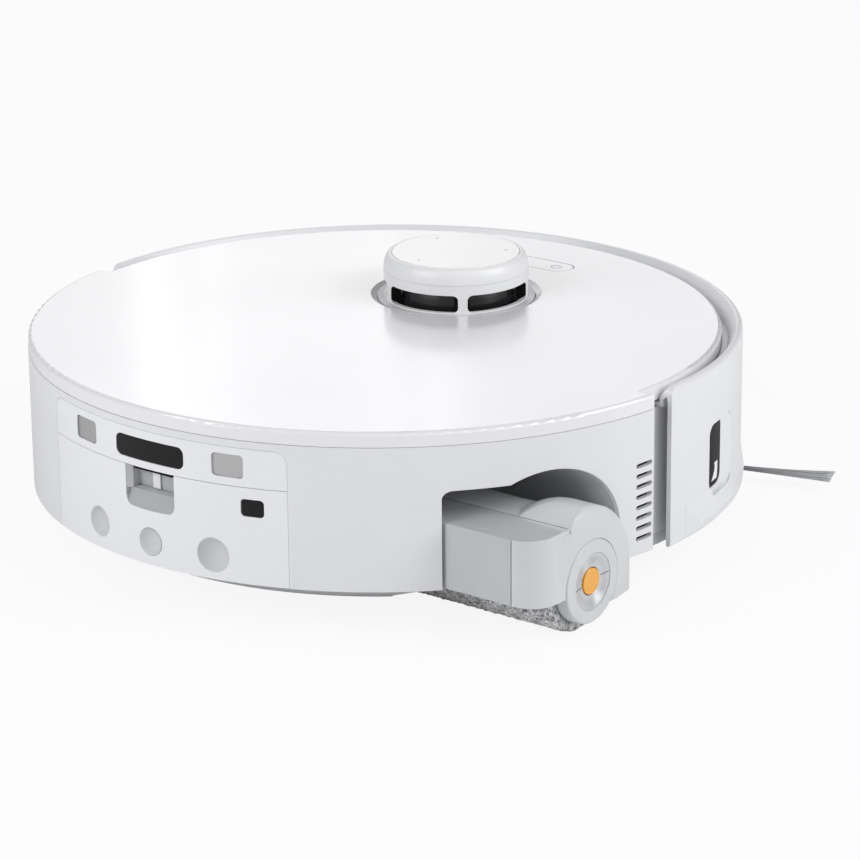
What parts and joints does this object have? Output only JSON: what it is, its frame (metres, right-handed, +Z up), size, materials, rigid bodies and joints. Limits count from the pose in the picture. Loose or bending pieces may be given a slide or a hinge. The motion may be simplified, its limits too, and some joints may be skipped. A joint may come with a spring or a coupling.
{
  "type": "robot vacuum cleaner",
  "caption": "Round robot vacuum cleaner with a laser turret, spring bumper, side brush, water tank and a roller mop module that extends from its right side.",
  "frame": {"origin": "on the floor, under the centre of the round body", "axes": "+X to the robot's right, where the mop module stands out; +Y to its front, the bumper side; +Z up"},
  "size_m": [0.3563, 0.3517, 0.1208],
  "materials": {
    "lid_white": "piano-gloss white",
    "shell_white": "satin white",
    "trim_white": "fine satin white",
    "button_white": "gloss white",
    "mop_grey": "satin light grey",
    "plate_grey": "polished grey",
    "frame_grey": "fine-grained dark grey",
    "pan_black": "fine-grained charcoal",
    "window_black": "gloss black, infrared-clear",
    "contact_metal": "nickel-plated, satin",
    "steel_rod": "ground steel",
    "dish_chrome": "mirror chrome",
    "release_orange": "gloss orange",
    "latch_grey": "satin light grey",
    "cloth": "looped terry cloth",
    "core_grey": "satin grey",
    "scraper": "matt rubber",
    "brush_rubber": "matt rubber fins",
    "bristle": "nylon bristle",
    "tyre": "moulded tread",
    "hub_grey": "satin grey",
    "arm_black": "fine-grained black",
    "belt": "matt rubber",
    "motor_steel": "drawn steel can",
    "board_green": "solder mask green",
    "battery": "shrink-wrap blue",
    "filter": "pleated filter paper",
    "bin_smoke": "smoky clear, shown solid",
    "bin_lid": "satin light grey",
    "duct_grey": "fine-grained grey",
    "screw_steel": "zinc-plated",
    "turret_white": "satin white",
    "turret_disc": "gloss white"
  },
  "bodies": {
    "main_body": {"chassis_pan": "pan_black", "chassis_screws": "screw_steel", "cliff_windows": "window_black", "side_wall": "shell_white", "front_frame": "frame_grey", "inner_deck": "trim_white", "rear_sensor_strip": "shell_white", "rear_ir_window": "window_black", "charging_contacts": "contact_metal", "mop_bay_liner": "frame_grey", "mop_guide_rods": "steel_rod", "main_brush_housing": "pan_black", "main_brush_cover": "arm_black", "battery_pack": "battery", "main_circuit_board": "board_green", "fan_housing": "duct_grey", "exhaust_duct": "duct_grey", "dustbin": "bin_smoke", "dustbin_lid": "bin_lid", "dust_filter": "filter", "lidar_base": "trim_white", "turret_cap": "turret_white", "turret_top_disc": "turret_disc", "lidar_motor": "motor_steel", "lidar_belt": "belt", "right_wheel_well": "pan_black", "left_wheel_well": "pan_black"},
    "lid": {"top_lid": "lid_white"},
    "power_button": {"power_button": "button_white"},
    "bumper": {"bumper_shell": "shell_white", "side_sensor_window": "window_black", "front_sensor_window": "window_black"},
    "lidar_rotor": {"lidar_rotor": "window_black"},
    "lidar_pulley": {"lidar_motor_pulley": "core_grey"},
    "water_tank": {"water_tank": "shell_white", "tank_sensor_window": "window_black"},
    "tank_latch": {"tank_latch": "latch_grey"},
    "mop_carriage": {"mop_carriage": "core_grey"},
    "mop_module": {"mop_hood": "mop_grey", "mop_rear_box": "mop_grey", "mop_top_plate": "plate_grey", "mop_end_cap": "mop_grey", "mop_dish": "dish_chrome", "roller_motor": "motor_steel", "scraper_blade": "scraper"},
    "mop_roller": {"roller_core": "core_grey", "roller_cloth": "cloth"},
    "release_button": {"release_button": "release_orange"},
    "right_arm": {"right_swing_arm": "arm_black"},
    "left_arm": {"left_swing_arm": "arm_black"},
    "right_wheel": {"right_wheel_hub": "hub_grey", "right_wheel_tyre": "tyre"},
    "left_wheel": {"left_wheel_hub": "hub_grey", "left_wheel_tyre": "tyre"},
    "caster_fork": {"caster_fork": "arm_black"},
    "caster_wheel": {"caster_wheel": "tyre"},
    "main_brush": {"main_brush": "brush_rubber"},
    "side_brush": {"side_brush_hub": "arm_black", "side_brush_bristles": "bristle"},
    "fan_impeller": {"fan_impeller": "hub_grey"}
  },
  "joints": [
    {"name": "lid_lift", "type": "slide", "parent": "main_body", "child": "lid", "axis": [0, 0, 1], "range_m": [0, 0.045]},
    {"name": "power_press", "type": "slide", "parent": "lid", "child": "power_button", "axis": [0, 0, -1], "range_m": [0, 0.0012], "stiffness_N_per_m": 600, "springref_m": -0.0008},
    {"name": "bumper_press", "type": "slide", "parent": "main_body", "child": "bumper", "axis": [0, -1, 0], "range_m": [0, 0.004], "stiffness_N_per_m": 1200, "springref_m": -0.002},
    {"name": "lidar_spin", "type": "hinge", "parent": "main_body", "child": "lidar_rotor", "pos_m": [0, 0.057, 0.095], "axis": [0, 0, 1], "continuous": true},
    {"name": "lidar_pulley_spin", "type": "hinge", "parent": "main_body", "child": "lidar_pulley", "pos_m": [0.054, 0.057, 0.0928], "axis": [0, 0, 1], "continuous": true},
    {"name": "tank_slide", "type": "slide", "parent": "main_body", "child": "water_tank", "axis": [0, -1, 0], "range_m": [0, 0.07]},
    {"name": "latch_press", "type": "slide", "parent": "water_tank", "child": "tank_latch", "axis": [0, 1, 0], "range_m": [0, 0.0025], "stiffness_N_per_m": 600, "springref_m": -0.0008},
    {"name": "mop_retract", "type": "slide", "parent": "main_body", "child": "mop_carriage", "axis": [-1, 0, 0], "range_m": [0, 0.042]},
    {"name": "mop_lift", "type": "slide", "parent": "mop_carriage", "child": "mop_module", "axis": [0, 0, 1], "range_m": [0, 0.012]},
    {"name": "roller_spin", "type": "hinge", "parent": "mop_module", "child": "mop_roller", "pos_m": [0.05, -0.0772, 0.0262], "axis": [1, 0, 0], "continuous": true},
    {"name": "release_press", "type": "slide", "parent": "mop_module", "child": "release_button", "axis": [-1, 0, 0], "range_m": [0, 0.002], "stiffness_N_per_m": 500, "springref_m": -0.0008},
    {"name": "right_arm_swing", "type": "hinge", "parent": "main_body", "child": "right_arm", "pos_m": [0.102, 0.037, 0.04], "axis": [1, 0, 0], "range_deg": [0, 25]},
    {"name": "left_arm_swing", "type": "hinge", "parent": "main_body", "child": "left_arm", "pos_m": [-0.102, 0.037, 0.04], "axis": [1, 0, 0], "range_deg": [0, 25]},
    {"name": "right_wheel_spin", "type": "hinge", "parent": "right_arm", "child": "right_wheel", "pos_m": [0.118, 0.001, 0.035], "axis": [1, 0, 0], "continuous": true},
    {"name": "left_wheel_spin", "type": "hinge", "parent": "left_arm", "child": "left_wheel", "pos_m": [-0.118, 0.001, 0.035], "axis": [1, 0, 0], "continuous": true},
    {"name": "caster_swivel", "type": "hinge", "parent": "main_body", "child": "caster_fork", "pos_m": [0, 0.133, 0.03], "axis": [0, 0, 1], "continuous": true},
    {"name": "caster_spin", "type": "hinge", "parent": "caster_fork", "child": "caster_wheel", "pos_m": [0, 0.125, 0.014], "axis": [1, 0, 0], "continuous": true},
    {"name": "main_brush_spin", "type": "hinge", "parent": "main_body", "child": "main_brush", "pos_m": [0, 0.032, 0.0209], "axis": [1, 0, 0], "continuous": true},
    {"name": "side_brush_spin", "type": "hinge", "parent": "main_body", "child": "side_brush", "pos_m": [0.091, 0.1303, 0.01], "axis": [0, 0, 1], "continuous": true},
    {"name": "fan_spin", "type": "hinge", "parent": "main_body", "child": "fan_impeller", "pos_m": [0.063, -0.0166, 0.05], "axis": [0, 0, 1], "continuous": true}
  ],
  "couplings": [
    {"joint": "lidar_pulley_spin", "follows": "lidar_spin", "ratio": 5.0909}
  ]
}
